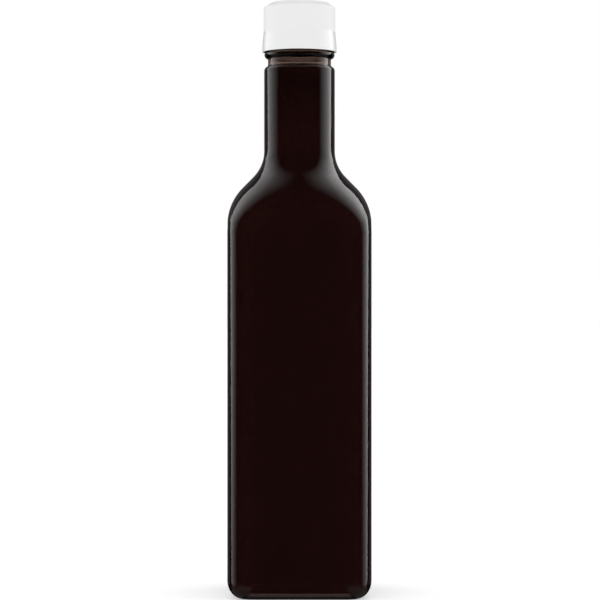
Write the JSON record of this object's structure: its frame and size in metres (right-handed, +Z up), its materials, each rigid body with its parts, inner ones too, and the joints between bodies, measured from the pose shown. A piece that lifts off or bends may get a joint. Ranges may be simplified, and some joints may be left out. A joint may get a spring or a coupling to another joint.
{
  "type": "steak sauce bottle",
  "caption": "Tall square bottle of dark glass with rounded corners, a round neck and a white plastic cap, filled with brown steak sauce.",
  "frame": {"origin": "middle of the bottle's base, on the surface it stands on", "axes": "+Z up along the bottle's axis; -Y is the front, and the four flat faces look along X and Y"},
  "size_m": [0.06, 0.06, 0.2497],
  "materials": {
    "tinted_glass": "clear, lightly brown tinted, polished",
    "steak_sauce": "wet, opaque",
    "white_plastic": "moulded, glossy"
  },
  "bodies": {
    "root": {"glass_bottle": "tinted_glass", "sauce": "steak_sauce", "cap": "white_plastic"}
  },
  "joints": []
}
